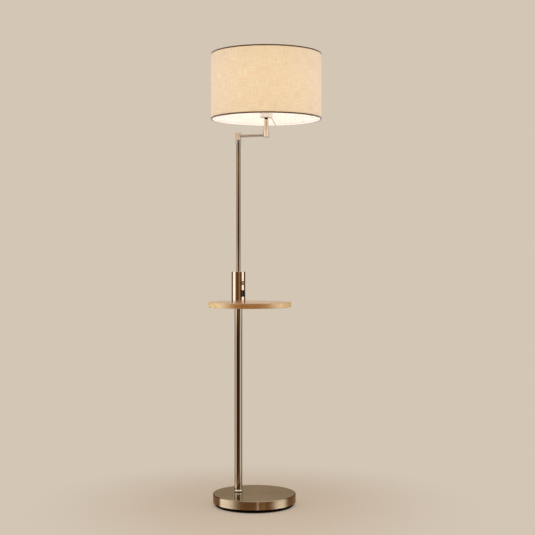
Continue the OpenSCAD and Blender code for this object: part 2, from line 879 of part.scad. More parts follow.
module holder_cap() {
    edge = 2;
    color("#f2efe6") at_head(holder_z) difference() {
        rotate_extrude() difference() {
            union() {
                translate([0, edge]) square([holder_d / 2, holder_cap_h - edge]);
                square([holder_d / 2 - edge, edge]);
                translate([holder_d / 2 - edge, edge]) circle(edge);
            }
            // the hollow, wider above the ledge that carries the contact block
            translate([-cut, holder_floor]) square([cap_id / 2 - ledge_w + cut, holder_cap_h]);
            translate([-cut, ledge_h]) square([cap_id / 2 + cut, holder_cap_h]);
        }
        translate([0, 0, -cut]) cylinder(d = tie_d + 2 * fit, h = holder_floor + 2 * cut);
    }
}

module contact_block() {
    color("#efe9da") at_head(block_z) difference() {
        cylinder(d = cap_id - 2 * fit, h = block_t);
        for (y = [-terminal_pitch, terminal_pitch]) translate([0, y, -cut])
            cylinder(d = terminal_screw_d + 2 * fit, h = 5 + cut);
    }
}

// The sprung tongue under the bulb, and the two terminal screws below the block.
module holder_contacts() {
    color("#c8a24a") {
        at_head(block_top) {
            translate([-contact_w / 2, -contact_w / 2, 0]) cube([contact_w + 4, contact_w, contact_t]);
            translate([-contact_w / 2, -contact_w / 2, 0]) cube([contact_t, contact_w, contact_rise]);
            translate([-contact_w / 2, -contact_w / 2, contact_rise - contact_t])
                cube([contact_w, contact_w, contact_t]);
        }
        for (y = [-terminal_pitch, terminal_pitch]) at_head(block_z) translate([0, y, 0]) {
            cylinder(d = terminal_screw_d, h = 4);
            translate([0, 0, -1.6]) cylinder(d = 6, h = 1.6);
        }
    }
}

module screw_shell() {
    color("#c8a24a") at_head(block_top) tube(shell_id + 2 * shell_t, shell_id, shell_top - block_top);
}

module holder_sleeve() {
    color("#f2efe6") at_head(block_top) difference() {
        union() {
            cylinder(d = cap_id - 2 * fit, h = cap_top - block_top);
            cylinder(d = sleeve_d, h = sleeve_top - block_top);
        }
        translate([0, 0, -cut]) cylinder(d = sleeve_bore, h = sleeve_top - block_top + 2 * cut);
    }
}

// ---- Bulb ----

module bulb_cap() {
    color("#c4c4c4") at_head(bulb_z) {
        cylinder(d = bulb_tip_d, h = bulb_tip_h);
        translate([0, 0, bulb_tip_h])
            cylinder(d1 = bulb_tip_d, d2 = bulb_cap_d - 4, h = bulb_cone_h);
        translate([0, 0, bulb_tip_h + bulb_cone_h])
            cylinder(d = bulb_cap_d, h = bulb_thread_h);
    }
}

// Half width of the bulb's glass at height h: a ball that draws in to a neck along a smooth curve.
bulb_r = bulb_d / 2;
neck_r = bulb_cap_d / 2 - 0.4;
function ease(t) = t * t * (3 - 2 * t);
function glass_r(h) =
    let (centre = bulb_l - bulb_r, over = h - centre)
    over > 0 ? sqrt(max(0, bulb_r * bulb_r - over * over))
             : neck_r + (bulb_r - neck_r) * ease(min(1, max(0, (h - 4) / (centre - 4))));

module bulb_globe() {
    side = [for (i = [0:12]) let (h = (bulb_l - bulb_r) * i / 12) [glass_r(h), h]];
    crown = [for (a = [7.5:7.5:82.5]) [bulb_r * cos(a), bulb_l - bulb_r + bulb_r * sin(a)]];
    color("#fbf7ec") at_head(bulb_glass_z) rotate_extrude()
        polygon(concat([[0, 0]], side, crown, [[0, bulb_l]]));
}

// ---- Shade ----

// The ring nut that clamps the spider's hub on the lampholder.
module shade_clamp() {
    color("#f2efe6") at_head(hub_z + hub_t) soft_disc(clamp_d, sleeve_d + 2 * fit, clamp_t, 1.2);
}

// The three straight wires from the hub down to the shade's lower ring.
module spider_arms(wire_d) {
    start = hub_d / 2 - arm_wire_d / 2;
    drop = hub_z + hub_t / 2 - (shade_z + trim_t + ring_wire_d / 2);
    run = ring_r - start;
    for (i = [0:arm_count - 1]) at_head(hub_z + hub_t / 2)
        rotate([0, 0, spider_angle + i * 360 / arm_count]) translate([start, 0, 0])
            rotate([0, 90 + atan(drop / run), 0]) cylinder(d = wire_d, h = norm([drop, run]));
}

module lower_ring() { at_head(shade_z + trim_t + ring_wire_d / 2) torus(ring_r, ring_wire_d); }

module spider() {
    color("#f4f1e8") {
        at_head(hub_z) tube(hub_d, hub_id, hub_t);
        difference() {
            spider_arms(arm_wire_d);
            lower_ring();
            at_head(0) difference() {
                cylinder(r = shade_d, h = shade_top);
                translate([0, 0, -cut]) cylinder(r = ring_r, h = shade_top + 2 * cut);
            }
        }
    }
}

module shade_rings() {
    color("#f4f1e8") {
        lower_ring();
        at_head(shade_top - trim_t - ring_wire_d / 2) torus(ring_r, ring_wire_d);
    }
}

// The laminated fabric, with the lapped seam where its two ends meet.
module shade_skin() {
    color("#ecd9b8") at_head(shade_z) {
        translate([0, 0, trim_t])
            tube(2 * skin_r, 2 * (skin_r - fabric_t), shade_h - 2 * trim_t);
        half = asin(seam_w / 2 / skin_r);
        rotate([0, 0, seam_angle - half]) rotate_extrude(angle = 2 * half)
            translate([skin_r - fabric_t / 2, trim_h]) square([fabric_t / 2 + seam_t, shade_h - 2 * trim_h]);
    }
}

// The trim's section: a leg outside and one inside, folded round the ring's wire.
module trim_section() {
    inner = ring_r - ring_wire_d / 2 - trim_t;
    translate([skin_r, 0]) square([trim_t, trim_h]);
    translate([inner, 0]) square([skin_r + trim_t - inner, trim_t]);
    translate([inner, 0]) square([trim_t, trim_leg]);
}

module shade_trims() {
    color("#a8855a") {
        difference() {
            at_head(shade_z) rotate_extrude() trim_section();
            spider_arms(arm_wire_d + 2 * fit);
        }
        at_head(shade_top) mirror([0, 0, 1]) rotate_extrude() trim_section();
    }
}

base_pad();
base_weight();
base_cover();
cord_bush();
base_washer();
base_nut();
tie_tubes();
foot_collar();
pole_bushes();
lower_pole();
table_plate();
table_screws();
table_top();
housing_base();
housing_shell();
housing_lid();
housing_screws();
driver_board();
board_parts();
switch_body();
button_bezel();
button_cap();
socket_bezel();
socket_shell();
socket_tongue();
upper_pole_bush();
upper_pole();
stand_lead();
pole_socket();
pivot_pin();
pivot_washers();
pivot_nut();
arm_barrel();
arm_rod();
head_barrel();
arm_caps();
stop_pins();
arm_lead();
head_pin();
head_washers();
head_nut();
stem_foot();
stem_tube();
stem_cap();
head_lead();
neck_nipple();
neck_ring();
holder_cap();
contact_block();
holder_contacts();
screw_shell();
holder_sleeve();
bulb_cap();
bulb_globe();
shade_clamp();
spider();
shade_rings();
shade_skin();
shade_trims();
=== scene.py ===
import math

import bpy
import numpy as np
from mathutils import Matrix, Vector


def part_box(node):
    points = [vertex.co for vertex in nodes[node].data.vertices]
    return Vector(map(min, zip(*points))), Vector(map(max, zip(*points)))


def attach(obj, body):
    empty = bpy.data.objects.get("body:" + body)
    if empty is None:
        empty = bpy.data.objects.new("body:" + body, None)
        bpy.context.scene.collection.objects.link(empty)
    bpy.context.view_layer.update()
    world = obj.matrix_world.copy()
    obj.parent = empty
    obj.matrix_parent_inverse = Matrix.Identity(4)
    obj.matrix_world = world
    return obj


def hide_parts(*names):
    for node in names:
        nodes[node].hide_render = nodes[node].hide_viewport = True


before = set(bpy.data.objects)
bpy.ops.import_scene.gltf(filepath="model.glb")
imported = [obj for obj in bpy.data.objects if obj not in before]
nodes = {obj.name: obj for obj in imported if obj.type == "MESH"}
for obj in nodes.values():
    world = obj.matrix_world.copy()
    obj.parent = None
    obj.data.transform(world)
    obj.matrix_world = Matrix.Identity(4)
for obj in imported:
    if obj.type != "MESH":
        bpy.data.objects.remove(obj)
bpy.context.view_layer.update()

print("frame loaded:", len(nodes), "nodes")

# The camera stands level, a little to the right of straight on and a little above the table.
viewpoint = {
    "turn": 20.0,        # degrees round from looking along +Y
    "distance": 4.191,   # metres from the middle of the base
    "aside": 0.0477,     # metres to the right
    "height": 0.8974,
    "lens": 77.72,       # millimetres
    "sensor": 36,
    "shiftUp": -0.01865,
}
turn = math.radians(viewpoint["turn"])
towardsCamera = np.array([math.sin(turn), -math.cos(turn), 0.0])
toTheRight = np.array([math.cos(turn), math.sin(turn), 0.0])


def makeCamera():
    data = bpy.data.cameras.new("camera")
    data.lens, data.sensor_width = viewpoint["lens"], viewpoint["sensor"]
    data.shift_y = viewpoint["shiftUp"]
    made = bpy.data.objects.new("camera", data)
    bpy.context.scene.collection.objects.link(made)
    made.location = towardsCamera * viewpoint["distance"] + toTheRight * viewpoint["aside"]
    made.location.z = viewpoint["height"]
    made.rotation_euler = (math.pi / 2, 0, turn)
    bpy.context.scene.camera = made


makeCamera()
print("camera set")


# Helpers for shaders and meshes

def toLinear(code):
    # an sRGB hex colour as the linear values that a shader takes
    srgb = np.array([int(code[i:i + 2], 16) for i in (0, 2, 4)]) / 255
    linear = np.where(srgb <= 0.04045, srgb / 12.92, ((srgb + 0.055) / 1.055) ** 2.4)
    return (*linear.tolist(), 1.0)


def addNode(tree, kind, settings, links=None):
    # settings holds the node's own properties and the values of its sockets, links the outputs
    # that feed them
    node = tree.nodes.new("ShaderNode" + kind)
    for key, value in settings.items():
        if isinstance(key, str) and hasattr(node, key):
            setattr(node, key, value)
        else:
            node.inputs[key].default_value = value
    for key, output in (links or {}).items():
        tree.links.new(output, node.inputs[key])
    return node


def startMaterial(name, colour, roughness, metallic=0.0, **sockets):
    material = bpy.data.materials.new(name)
    material.use_nodes = True
    tree = material.node_tree
    shader = tree.nodes["Principled BSDF"]
    shader.inputs["Base Color"].default_value = toLinear(colour)
    shader.inputs["Roughness"].default_value = roughness
    shader.inputs["Metallic"].default_value = metallic
    for key, value in sockets.items():
        shader.inputs[key.replace("_", " ")].default_value = value
    return material, tree, shader


def objectPlace(tree, middle=(0, 0, 0), stretch=(1, 1, 1)):
    # Object coordinates in millimetres from a middle, each axis divided by its stretch
    place = addNode(tree, "TexCoord", {})
    scale = [1000 / s for s in stretch]
    moved = [-m * k for m, k in zip(middle, scale)]
    mapped = addNode(tree, "Mapping", {"Location": moved, "Scale": scale},
                     {"Vector": place.outputs["Object"]})
    return mapped.outputs["Vector"]


def finish(tree, shader, pattern, tones=None, span=(0.3, 0.7), gloss=None, reliefMm=0.0):
    # One pattern shows in the colour, the roughness and the relief together, so that the marks
    # on a surface line up. The colour comes back, in case more is laid over it.
    if gloss:
        band = addNode(tree, "MapRange", {"To Min": gloss[0], "To Max": gloss[1]},
                       {"Value": pattern})
        tree.links.new(band.outputs["Result"], shader.inputs["Roughness"])
    if reliefMm:
        bump = addNode(tree, "Bump", {"Distance": reliefMm / 1000}, {"Height": pattern})
        tree.links.new(bump.outputs["Normal"], shader.inputs["Normal"])
    if tones:
        ramp = addNode(tree, "ValToRGB", {}, {"Fac": pattern})
        for stop, place, tone in zip(ramp.color_ramp.elements, span, tones):
            stop.position, stop.color = place, toLinear(tone)
        tree.links.new(ramp.outputs["Color"], shader.inputs["Base Color"])
        return ramp.outputs["Color"]


def gridMesh(name, rows, wrapAcross=False, wrapAlong=False, uv=None):
    # rows is an array of points, along x across x 3. Quads join each point to its neighbours,
    # and a wrapped side joins the last line of points to the first.
    along, across = rows.shape[:2]
    i = np.arange(along if wrapAlong else along - 1)
    j = np.arange(across if wrapAcross else across - 1)
    i, j = (a.ravel() for a in np.meshgrid(i, j, indexing="ij"))
    nextI, nextJ = (i + 1) % along, (j + 1) % across
    faces = np.stack([i * across + j, i * across + nextJ, nextI * across + nextJ,
                      nextI * across + j], axis=1)
    mesh = bpy.data.meshes.new(name)
    mesh.from_pydata(rows.reshape(-1, 3).tolist(), [], faces.tolist())
    if uv is not None:
        # uv has one more line than the points on a wrapped side, so that it doesn't jump back
        layer = mesh.uv_layers.new(name="UVMap")
        corners = np.stack([uv[i, j], uv[i, j + 1], uv[i + 1, j + 1], uv[i + 1, j]], axis=1)
        layer.data.foreach_set("uv", corners.reshape(-1).astype(np.float32))
    mesh.shade_smooth()
    made = bpy.data.objects.new(name, mesh)
    bpy.context.scene.collection.objects.link(made)
    return made


def turned(name, profile, middle, segments=192):
    # a closed profile of (radius, height) points, spun round the vertical through middle
    angle = np.linspace(0, 2 * math.pi, segments, endpoint=False)
    radius, height = profile[:, 0], profile[:, 1]
    rows = np.stack([middle[0] + np.outer(radius, np.cos(angle)),
                     middle[1] + np.outer(radius, np.sin(angle)),
                     np.repeat(height[:, None], segments, axis=1)], axis=2)
    steps = np.hypot(*np.diff(np.vstack([profile, profile[:1]]), axis=0).T)
    run = np.concatenate([[0], np.cumsum(steps)])
    arc = np.append(angle, 2 * math.pi) * radius.max()
    uv = np.stack(np.meshgrid(arc, run), axis=2)
    return gridMesh(name, rows, wrapAcross=True, wrapAlong=True, uv=uv)


def dress(material, *names):
    for name in names:
        slots = nodes[name].data.materials
        slots.clear()
        slots.append(material)


def middleOf(node):
    low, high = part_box(node)
    return (low + high) / 2


# Materials. Each is named for the real stuff and how its surface was made. The patterns are laid
# out in millimetres, so a Scale is how many marks there are to a millimetre.

brushing = {
    "spacingMm": 0.9,    # real lines are 0.1 mm apart; they are drawn coarser so that they show
    "perTurn": 0.9,      # how often a line starts afresh for each radian round the piece
    "depthMm": 0.0015,
    "streak": 0.6,       # from 0, an even highlight, to 1, the longest streak across the lines
    "wander": 0.02,      # how far the roughness strays either way
}


def satinNickel(name, middle, tones=("a59885", "b5a896"), roughness=0.07, axis="Z"):
    # Nickel plate brushed while it turned: fine lines run round the piece, so a light spreads
    # across them into a long streak and stays narrow along them.
    material, tree, shader = startMaterial(name, tones[1], roughness, 1.0,
                                           Anisotropic=brushing["streak"],
                                           Anisotropic_Rotation=0.25)
    place = addNode(tree, "SeparateXYZ", {}, {0: objectPlace(tree, middle)})
    first, second, lengthways = {"Z": "XYZ", "X": "YZX"}[axis]
    flat = addNode(tree, "CombineXYZ", {}, {0: place.outputs[first], 1: place.outputs[second]})
    radius = addNode(tree, "VectorMath", {"operation": "LENGTH"}, {0: flat.outputs[0]})
    bearing = addNode(tree, "VectorMath", {"operation": "NORMALIZE"}, {0: flat.outputs[0]})
    # noise that changes quickly across the lines and slowly along them
    across = addNode(tree, "Math", {"operation": "ADD"}, {0: radius.outputs["Value"],
                                                          1: place.outputs[lengthways]})
    spaced = addNode(tree, "Math", {"operation": "DIVIDE", 1: brushing["spacingMm"]},
                     {0: across.outputs[0]})
    along = addNode(tree, "VectorMath", {"operation": "SCALE", "Scale": brushing["perTurn"]},
                    {0: bearing.outputs[0]})
    lines = addNode(tree, "TexNoise", {"noise_dimensions": "4D", "Scale": 1.0, "Detail": 2.0},
                    {"Vector": along.outputs[0], "W": spaced.outputs[0]})
    wander = brushing["wander"]
    finish(tree, shader, lines.outputs["Fac"], tones,
           gloss=(roughness - wander, roughness + wander), reliefMm=brushing["depthMm"])
    tangent = addNode(tree, "Tangent", {"direction_type": "RADIAL", "axis": axis})
    tree.links.new(tangent.outputs[0], shader.inputs["Tangent"])
    return material


def polishedNickel():
    # Nickel plate buffed bright: a soft mirror with a faint warm cast and a few swirl marks.
    material, tree, shader = startMaterial("polished nickel", "efe8de", 0.3, 1.0)
    swirl = addNode(tree, "TexNoise", {"Scale": 0.6, "Detail": 4.0}, {"Vector": objectPlace(tree)})
    finish(tree, shader, swirl.outputs["Fac"], gloss=(0.24, 0.36))
    return material


def platedMetal(name="zinc plate", colour="b9bcbd", roughness=0.34):
    # Plate left as it comes from the bath: slightly cloudy. What is hidden has bright zinc on
    # steel, which is bluish grey.
    material, tree, shader = startMaterial(name, colour, roughness, 1.0)
    cloud = addNode(tree, "TexNoise", {"Scale": 0.25, "Detail": 5.0}, {"Vector": objectPlace(tree)})
    finish(tree, shader, cloud.outputs["Fac"], gloss=(roughness - 0.08, roughness + 0.1),
           reliefMm=0.01)
    return material


def drawnBrass():
    # Brass drawn through a die: yellow, with faint lines along it.
    material, tree, shader = startMaterial("drawn brass", "c9a75f", 0.3, 1.0)
    lines = addNode(tree, "TexNoise", {"Scale": 1.0, "Detail": 3.0},
                    {"Vector": objectPlace(tree, stretch=(0.4, 0.4, 12))})
    finish(tree, shader, lines.outputs["Fac"], ("b8954e", "d3b26c"), gloss=(0.22, 0.4))
    return material


def turnedAluminium():
    # Aluminium faced on a lathe: pale grey and satin.
    material, tree, shader = startMaterial("turned aluminium", "c2c3c3", 0.35, 1.0)
    lines = addNode(tree, "TexNoise", {"Scale": 1.0, "Detail": 3.0},
                    {"Vector": objectPlace(tree, stretch=(8, 8, 0.5))})
    finish(tree, shader, lines.outputs["Fac"], gloss=(0.28, 0.44))
    return material


def blackCastIron():
    # Sand-cast iron under black paint: a fine pebbled skin with a low sheen. It is drawn
    # darker than black paint, as painted shade under the cover's rim.
    material, tree, shader = startMaterial("black painted cast iron", "040302", 0.7,
                                           Specular_IOR_Level=0.05)
    grains = addNode(tree, "TexNoise", {"Scale": 0.9, "Detail": 6.0}, {"Vector": objectPlace(tree)})
    finish(tree, shader, grains.outputs["Fac"], ("030201", "080503"), gloss=(0.6, 0.85),
           reliefMm=0.15)
    return material


def foamRubber():
    # Foamed rubber: matt black with open pores under a millimetre across.
    material, tree, shader = startMaterial("foamed rubber", "161514", 0.9)
    pores = addNode(tree, "TexVoronoi", {"Scale": 1.2}, {"Vector": objectPlace(tree)})
    finish(tree, shader, pores.outputs["Distance"], ("0c0b0b", "1d1c1a"), (0.0, 0.6),
           reliefMm=0.2)
    return material


def mouldedRubber():
    # Moulded rubber: black with a soft bloom.
    material, tree, shader = startMaterial("moulded rubber", "1a1918", 0.6)
    bloom = addNode(tree, "TexNoise", {"Scale": 0.5, "Detail": 4.0}, {"Vector": objectPlace(tree)})
    finish(tree, shader, bloom.outputs["Fac"], ("141312", "24221f"), gloss=(0.5, 0.75))
    return material


woodGrain = {
    # how far a mark runs along the grain and how wide it is across it, sideways and upwards
    "bandsMm": (150, 9, 5),         # real growth rings are 3 mm apart, drawn coarser
    "streaksMm": (40, 0.9, 0.9),    # real pores are 0.1 mm wide, drawn coarser so that they show
    "flecksMm": (6, 0.7, 1.2),      # real ones are half as long and as wide, drawn coarser too
}


def lacqueredBeech(middle):
    # Beech under clear lacquer: warm, with long soft bands along the grain and the short
    # flecks, a little darker, that beech has. Seen flat along its top it mirrors what stands
    # behind it.
    material, tree, shader = startMaterial("lacquered beech", "c79a5c", 0.4, Coat_Weight=1.0,
                                           Coat_Roughness=0.22, Coat_IOR=1.75)
    bands = addNode(tree, "TexNoise", {"Scale": 1.0, "Detail": 5.0, "Distortion": 0.6},
                    {"Vector": objectPlace(tree, middle, woodGrain["bandsMm"])})
    fine = addNode(tree, "TexNoise", {"Scale": 1.0, "Detail": 4.0},
                   {"Vector": objectPlace(tree, middle, woodGrain["streaksMm"])})
    flecks = addNode(tree, "TexNoise", {"Scale": 1.0, "Detail": 1.0},
                     {"Vector": objectPlace(tree, middle, woodGrain["flecksMm"])})
    wood = finish(tree, shader, bands.outputs["Fac"], ("b37b39", "cc9a58"), (0.3, 0.7))
    streak = addNode(tree, "MapRange", {"From Min": 0.35, "From Max": 0.65, "To Min": 0.94,
                                        "To Max": 1.04}, {"Value": fine.outputs["Fac"]})
    fleck = addNode(tree, "MapRange", {"From Min": 0.64, "From Max": 0.72, "To Min": 1.0,
                                       "To Max": 0.93}, {"Value": flecks.outputs["Fac"]})
    tint = addNode(tree, "Math", {"operation": "MULTIPLY"}, {0: streak.outputs["Result"],
                                                             1: fleck.outputs["Result"]})
    toned = addNode(tree, "VectorMath", {"operation": "SCALE"}, {0: wood, "Scale": tint.outputs[0]})
    tree.links.new(toned.outputs[0], shader.inputs["Base Color"])
    finish(tree, shader, fine.outputs["Fac"], gloss=(0.34, 0.5), reliefMm=0.02)
    return material


def moulded(name, colour, roughness, grainMm=0.5, depthMm=0.02, **sockets):
    # Plastic or porcelain from a mould: an even colour with the fine grain that the mould leaves.
    material, tree, shader = startMaterial(name, colour, roughness, **sockets)
    grain = addNode(tree, "TexNoise", {"Scale": 1 / grainMm, "Detail": 3.0},
                    {"Vector": objectPlace(tree)})
    finish(tree, shader, grain.outputs["Fac"], gloss=(roughness - 0.06, roughness + 0.08),
           reliefMm=depthMm)
    return material


def greenLaminate():
    # Circuit board under solder resist: green, with the glass cloth faintly showing. The cloth's
    # real squares are 0.5 mm wide, and these are drawn coarser so that they show.
    material, tree, shader = startMaterial("solder resist", "2b6a45", 0.35)
    cloth = addNode(tree, "TexChecker", {"Scale": 0.5, "Color1": toLinear("2a6743"),
                                         "Color2": toLinear("2e6f49")},
                    {"Vector": objectPlace(tree)})
    tree.links.new(cloth.outputs["Color"], shader.inputs["Base Color"])
    return material


def opalGlow(glow):
    # Opal plastic lit from inside: an even warm glow with no filament to see.
    material, tree, shader = startMaterial("lit opal plastic", "fff6e4", 0.4)
    shader.inputs["Emission Color"].default_value = toLinear("fff6f4")
    shader.inputs["Emission Strength"].default_value = glow
    haze = addNode(tree, "TexNoise", {"Scale": 0.15}, {"Vector": objectPlace(tree)})
    finish(tree, shader, haze.outputs["Fac"], gloss=(0.35, 0.5))
    return material


def powderCoat():
    # Powder coat on wire: smooth with a slight orange peel. Its pale grey, darker than the white
    # coat, is painted shade, since the wire's seen side faces down, away from the bulb.
    material, tree, shader = startMaterial("powder coat in painted shade", "c4beb1", 0.42)
    peel = addNode(tree, "TexNoise", {"Scale": 0.8, "Detail": 2.0}, {"Vector": objectPlace(tree)})
    finish(tree, shader, peel.outputs["Fac"], gloss=(0.36, 0.5), reliefMm=0.04)
    return material


clothWeave = {
    "threadMm": 1.5,     # a real thread is 0.5 mm wide; it is drawn coarser so that it shows
    "slubMm": 38.0,      # how far a thick stretch of thread runs
    "reliefMm": 0.12,
    "glows": (0.86, 1.12),    # how much of the painted glow dark and pale threads show
    "fades": 0.45,            # how much less painted glow there is, one shade's height from the bulb
}


def wovenLinen(name, dark, pale, glow=0.0, fuzz=0.1):
    # Linen in plain weave: matt, with uneven threads that run both ways, a little paler where
    # they are thick. The bulb's light coming through is painted on as a glow: the pale threads
    # glow more than the dark ones, and all of them most beside the bulb.
    material, tree, shader = startMaterial(name, pale, 0.9, Sheen_Weight=fuzz, Sheen_Roughness=0.4)
    thread = clothWeave["threadMm"]
    place = addNode(tree, "TexCoord", {})
    inMm = addNode(tree, "Mapping", {"Scale": (1000, 1000, 1000)}, {"Vector": place.outputs["UV"]})
    part = addNode(tree, "SeparateXYZ", {}, {0: inMm.outputs[0]})
    waves = []
    for axis in "XY":
        phase = addNode(tree, "Math", {"operation": "MULTIPLY", 1: math.pi / thread},
                        {0: part.outputs[axis]})
        waves.append(addNode(tree, "Math", {"operation": "SINE"}, {0: phase.outputs[0]}))
    weave = addNode(tree, "Math", {"operation": "MULTIPLY"}, {0: waves[0].outputs[0],
                                                              1: waves[1].outputs[0]})
    slubs = []
    for stretch in ((thread, clothWeave["slubMm"], 1), (clothWeave["slubMm"], thread, 1)):
        laid = addNode(tree, "Mapping", {"Scale": [1 / s for s in stretch]},
                       {"Vector": inMm.outputs[0]})
        slubs.append(addNode(tree, "TexNoise", {"noise_dimensions": "2D", "Scale": 1.0,
                                                "Detail": 2.0}, {"Vector": laid.outputs[0]}))
    both = addNode(tree, "Math", {"operation": "ADD"}, {0: slubs[0].outputs["Fac"],
                                                        1: slubs[1].outputs["Fac"]})
    half = addNode(tree, "Math", {"operation": "MULTIPLY", 1: 0.5}, {0: both.outputs[0]})
    relief = addNode(tree, "Math", {"operation": "MULTIPLY_ADD", 1: 0.3},
                     {0: weave.outputs[0], 2: both.outputs[0]})
    finish(tree, shader, relief.outputs[0], reliefMm=clothWeave["reliefMm"])
    finish(tree, shader, half.outputs[0], (dark, pale), (0.35, 0.65))
    if glow:
        least, most = clothWeave["glows"]
        through = addNode(tree, "MapRange", {"From Min": 0.36, "From Max": 0.64, "To Min": least,
                                             "To Max": most}, {"Value": half.outputs[0]})
        low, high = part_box("shade_skin")
        bulbAt = middleOf("bulb_globe").z * 1000
        reach = (high.z - low.z) * 1000
        beside = addNode(tree, "Math", {"operation": "SUBTRACT", 1: bulbAt}, {0: part.outputs["Y"]})
        beside = addNode(tree, "Math", {"operation": "DIVIDE", 1: reach}, {0: beside.outputs[0]})
        beside = addNode(tree, "Math", {"operation": "POWER", 1: 2.0}, {0: beside.outputs[0]})
        fading = addNode(tree, "Math", {"operation": "MULTIPLY_ADD", 1: -clothWeave["fades"],
                                        2: 1.0}, {0: beside.outputs[0]})
        amount = addNode(tree, "Math", {"operation": "MULTIPLY"}, {0: through.outputs[0],
                                                                   1: fading.outputs[0]})
        # painted light: this emission stands in for the bulb's light coming through the cloth
        warm = addNode(tree, "VectorMath", {"operation": "SCALE", 0: toLinear("ffdaa3")[:3]},
                       {"Scale": amount.outputs[0]})
        tree.links.new(warm.outputs[0], shader.inputs["Emission Color"])
        shader.inputs["Emission Strength"].default_value = glow
    return material


def styreneBacking(glow):
    # White styrene film behind the cloth: smooth, its light from the bulb painted on as a glow.
    material, tree, shader = startMaterial("white styrene film", "f2ebdf", 0.5)
    film = addNode(tree, "TexNoise", {"Scale": 0.02, "Detail": 2.0}, {"Vector": objectPlace(tree)})
    finish(tree, shader, film.outputs["Fac"], ("efe6df", "f5eee9"))
    # painted light: a faint warm glow for the bulb's light on the film
    shader.inputs["Emission Color"].default_value = toLinear("fff0e0")
    shader.inputs["Emission Strength"].default_value = glow
    return material


# Where a piece's finish or tones differ from the poles', which have satinNickel's own values.
finishesAndPaintedLight = {
    "base_cover": {"tones": ("94856c", "b3a48b"), "roughness": 0.15},       # darker tones than the poles'
    "housing_shell": {"tones": ("ccbba8", "dfcfbd"), "roughness": 0.07},    # buffed
    "housing_lid": {"tones": ("ccbba8", "dfcfbd"), "roughness": 0.07},
    "pole_socket": {"tones": ("bdb6aa", "cec7bb"), "roughness": 0.06},
    "arm_rod": {"tones": ("a0968a", "b2a89c"), "roughness": 0.14, "axis": "X"},
    # the arm's barrels and the stem sit just below the lit shade: their paler tones are painted
    # light
    "arm_barrel": {"tones": ("d2c2ac", "e2d2bc"), "roughness": 0.3},        # coarsely brushed
    "head_barrel": {"tones": ("e6d8c4", "f5e7d3"), "roughness": 0.3},
    "stem_foot": {"tones": ("e0d2be", "efe1cd"), "roughness": 0.36},
    "stem_tube": {"tones": ("e0d2be", "efe1cd"), "roughness": 0.36},
    "stem_cap": {"tones": ("e0d2be", "efe1cd"), "roughness": 0.36},
}


def dressFrame():
    for name in ("lower_pole", "upper_pole", *finishesAndPaintedLight):
        dress(satinNickel("satin nickel " + name, middleOf(name), **finishesAndPaintedLight.get(name, {})), name)
    dress(platedMetal("satin nickel caps", "c9bca9", 0.28), "arm_caps")
    dress(platedMetal("satin nickel button", "8f7e6b", 0.36), "button_cap")
    dress(platedMetal("black nickel", "4b4139", 0.3), "button_bezel")
    dress(polishedNickel(), "foot_collar")
    dress(platedMetal(), "base_washer", "base_nut", "pole_bushes", "table_plate", "table_screws",
          "upper_pole_bush", "pivot_pin", "pivot_nut", "stop_pins", "head_pin", "head_nut")
    dress(platedMetal("black oxide", "2c2b2a", 0.5), "housing_screws")
    dress(drawnBrass(), "tie_tubes", "neck_nipple", "holder_contacts", "screw_shell")
    dress(turnedAluminium(), "housing_base", "bulb_cap")
    dress(blackCastIron(), "base_weight")
    dress(foamRubber(), "base_pad")
    dress(mouldedRubber(), "cord_bush")
    dress(lacqueredBeech(middleOf("table_top")), "table_top")
    dress(moulded("black moulded plastic", "0a0706", 0.6, Specular_IOR_Level=0.25),
          "socket_bezel", "neck_ring", "switch_body", "board_parts")
    # the socket's shell and tongue sit deep in its opening: their darker colours are painted shade
    dress(platedMetal("tin plate", "8f8a82", 0.3), "socket_shell")
    dress(moulded("white nylon", "e3e0d6", 0.5), "pivot_washers", "head_washers")
    dress(moulded("nylon in painted shade", "6e6455", 0.5), "socket_tongue")
    dress(moulded("white lead jacket", "e6e2d8", 0.45), "stand_lead", "arm_lead",
          "head_lead")
    dress(moulded("white thermoset", "fffaf2", 0.35), "holder_cap", "holder_sleeve",
          "shade_clamp")
    dress(moulded("unglazed porcelain", "ece6d8", 0.6), "contact_block")
    dress(greenLaminate(), "driver_board")
    dress(opalGlow(7.2), "bulb_globe")
    dress(powderCoat(), "spider", "shade_rings")


dressFrame()
print("frame dressed")


# The shade: linen on a styrene film, its two ends lapped in one seam, and a folded strip of
# linen tape round each edge, dark outside, partly its own tone and partly painted shade.
shade = {
    "clothMm": 0.4,
    "filmMm": 0.4,
    "seamTurn": 118.0,   # degrees round from +X
    "seamMm": 12.0,
    "lapMm": 0.4,        # how far the lapped end stands out
    "rows": 25,
    "columns": 250,
    "lapColumns": 6,
    # shares of the seam's width: where the lap has stepped down, where the even columns start
    # beyond it, and how far before the seam they end
    "stepEnd": 1.03,
    "evenFrom": 1.08,
    "evenTo": -0.05,
}


